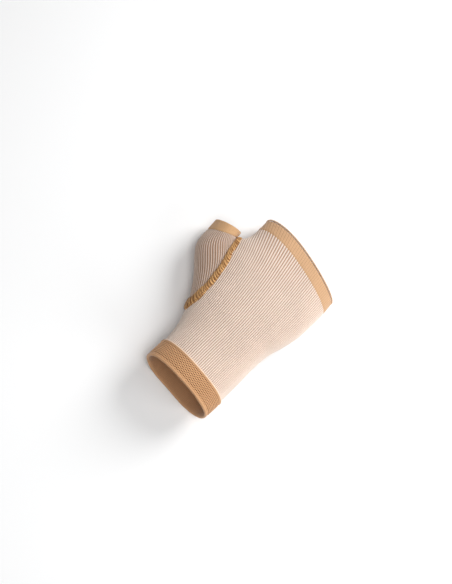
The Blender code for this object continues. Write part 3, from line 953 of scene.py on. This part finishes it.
def make_floor():
    """A plain pale floor."""
    half = 3.0
    corners = [(-half, -half, 0), (half, -half, 0), (half, half, 0), (-half, half, 0)]
    mesh = bpy.data.meshes.new("floor")
    mesh.from_pydata(corners, [], [(0, 1, 2, 3)])
    floor = bpy.data.objects.new("floor", mesh)
    bpy.context.scene.collection.objects.link(floor)
    material = bpy.data.materials.new("pale_floor")
    material.use_nodes = True
    shader = material.node_tree.nodes["Principled BSDF"]
    shader.inputs["Base Color"].default_value = (0.93, 0.93, 0.93, 1)
    shader.inputs["Roughness"].default_value = 0.9
    shader.inputs["Specular IOR Level"].default_value = 0.1
    mesh.materials.append(material)


def make_light(name, place, size, power):
    """A round soft light at this place, in metres and watts, that faces the object."""
    target = Vector((0, 0, 0.02))
    data = bpy.data.lights.new(name, "AREA")
    data.shape = "DISK"
    data.size = size
    data.energy = power
    light = bpy.data.objects.new(name, data)
    light.location = place
    light.rotation_euler = (target - Vector(place)).to_track_quat("-Z", "Y").to_euler()
    bpy.context.scene.collection.objects.link(light)


def light_the_set():
    """Soft light from in front, from the side and from beyond the object, and a little from all round."""
    world = bpy.data.worlds.new("studio")
    world.use_nodes = True
    background = world.node_tree.nodes["Background"]
    background.inputs["Color"].default_value = (0.93, 0.96, 1.0, 1)
    background.inputs["Strength"].default_value = 0.06
    bpy.context.scene.world = world
    make_light("front", (0.0, -0.3, 0.9), size=0.7, power=5.0)
    make_light("side", (0.85, 0.1, 0.35), size=0.6, power=4.3)
    make_light("far", (0.1, 0.7, 0.6), size=0.7, power=8.0)
    bpy.context.scene.view_settings.view_transform = "Standard"


def make_camera():
    """The photograph's view."""
    data = bpy.data.cameras.new("camera")
    data.sensor_width = 36.0
    data.lens = 50.96
    camera = bpy.data.objects.new("camera", data)
    camera.location = (-0.0397, -0.2524, 0.6302)
    camera.rotation_euler = [math.radians(a) for a in (13.525, -18.781, 46.453)]
    bpy.context.scene.collection.objects.link(camera)
    bpy.context.scene.camera = camera


def make_sleeve_piece(back):
    """The sleeve."""
    # each pair: a darker colour between the stitches, painted shade in the gaps, then the yarn's own colour on
    # them
    yarn = (colour(222, 203, 188), colour(237, 220, 207))
    ground = (colour(164, 125, 100), colour(206, 169, 146))
    sleeve = make_sleeve(ribbed_knit("ribbed_knit", SLEEVE_RIB, yarn, ground), back)
    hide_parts("hand_sleeve", "wrist_flex_zone", "forearm_sleeve")
    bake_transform(sleeve)
    return sleeve


def make_stall_piece(back):
    """The thumb stall, between the hand and the thumb band."""
    # darker copies of the sleeve's yarn and ground colours: painted shade over the whole stall, besides the
    # painted shade between stitches
    yarn = (colour(191, 168, 151), colour(219, 198, 183))
    ground = (colour(146, 110, 86), colour(182, 144, 118))
    stall = make_stall(ribbed_knit("shaded_stall_ribbed_knit", STALL_RIB, yarn, ground), back)
    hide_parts("thumb_stall", "thumb_flex_zone")
    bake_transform(stall)
    return stall


def make_cuff_piece():
    """The cuff, on the forearm."""
    cuff = make_cuff(cuff_knit(), lining_knit())
    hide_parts("wrist_cuff_outer", "wrist_cuff_lining",
                "wrist_cuff_lower_roll", "wrist_cuff_upper_roll")
    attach(cuff, "forearm")
    return cuff


def make_band_pieces():
    """The knuckle band, its rolled edge, and the thumb band."""
    band = band_knit("knuckle_band_knit", colour(216, 174, 134), colour(160, 118, 82), 0.6)
    thumb_tan = band_knit("thumb_band_knit", colour(212, 169, 124), colour(158, 116, 78), 0.2)
    selvage = thread("selvage_thread", colour(240, 206, 170), colour(206, 160, 120), 2.0)
    # a dark brown copy of the band knit for the fold under the hem: painted shade
    hem_shade_knit = band_knit("knuckle_hem_shade_knit", colour(140, 92, 58), colour(92, 56, 32), 0.3)
    knuckle = make_knuckle_band(band, hem_shade_knit)
    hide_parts("knuckle_band_outer", "knuckle_band_lining")
    edge = make_knuckle_edge(selvage)
    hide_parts("knuckle_band_edge_roll")
    thumb_band = make_thumb_band(thumb_tan)
    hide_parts("thumb_band_outer", "thumb_band_lining",
                "thumb_band_edge_roll", "thumb_band_elastic")
    for piece, body in ((knuckle, "hand"), (edge, "hand"), (thumb_band, "thumb")):
        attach(piece, body)
    return knuckle, edge, thumb_band


def make_seam_pieces():
    """The overlocked seam round the thumb hole: its tape, and the threads over it."""
    tape_knit = thread("seam_tape_knit", colour(196, 150, 98), colour(146, 102, 60), 0.0)
    # twist 0.4: each overlock thread lighter on top and darker underneath, painted shade
    overlock = thread("overlock_thread", colour(230, 182, 122), colour(146, 98, 52), 0.4)
    line, away, across = seam_section()
    tape = make_seam_tape(line, across, tape_knit)
    seam_stitches = make_seam_stitches(line, away, across, overlock)
    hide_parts("thumb_seam_thread")
    for piece in (tape, seam_stitches):
        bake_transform(piece)
    return tape, seam_stitches


def make_support():
    """Every piece, and the CAD nodes that the pieces stand for; the cuff and the bands go with the body that
    they move with.
    """
    back = knit_back()
    sleeve = make_sleeve_piece(back)
    stall = make_stall_piece(back)
    cuff = make_cuff_piece()
    knuckle, edge, thumb_band = make_band_pieces()
    tape, seam_stitches = make_seam_pieces()
    rubber = covered_rubber()
    for name, node in frame["nodes"].items():
        if "elastic" in name:
            node.data.materials.clear()
            node.data.materials.append(rubber)


def main():
    """Makes the scene."""
    make_camera()
    make_floor()
    light_the_set()
    make_support()


main()
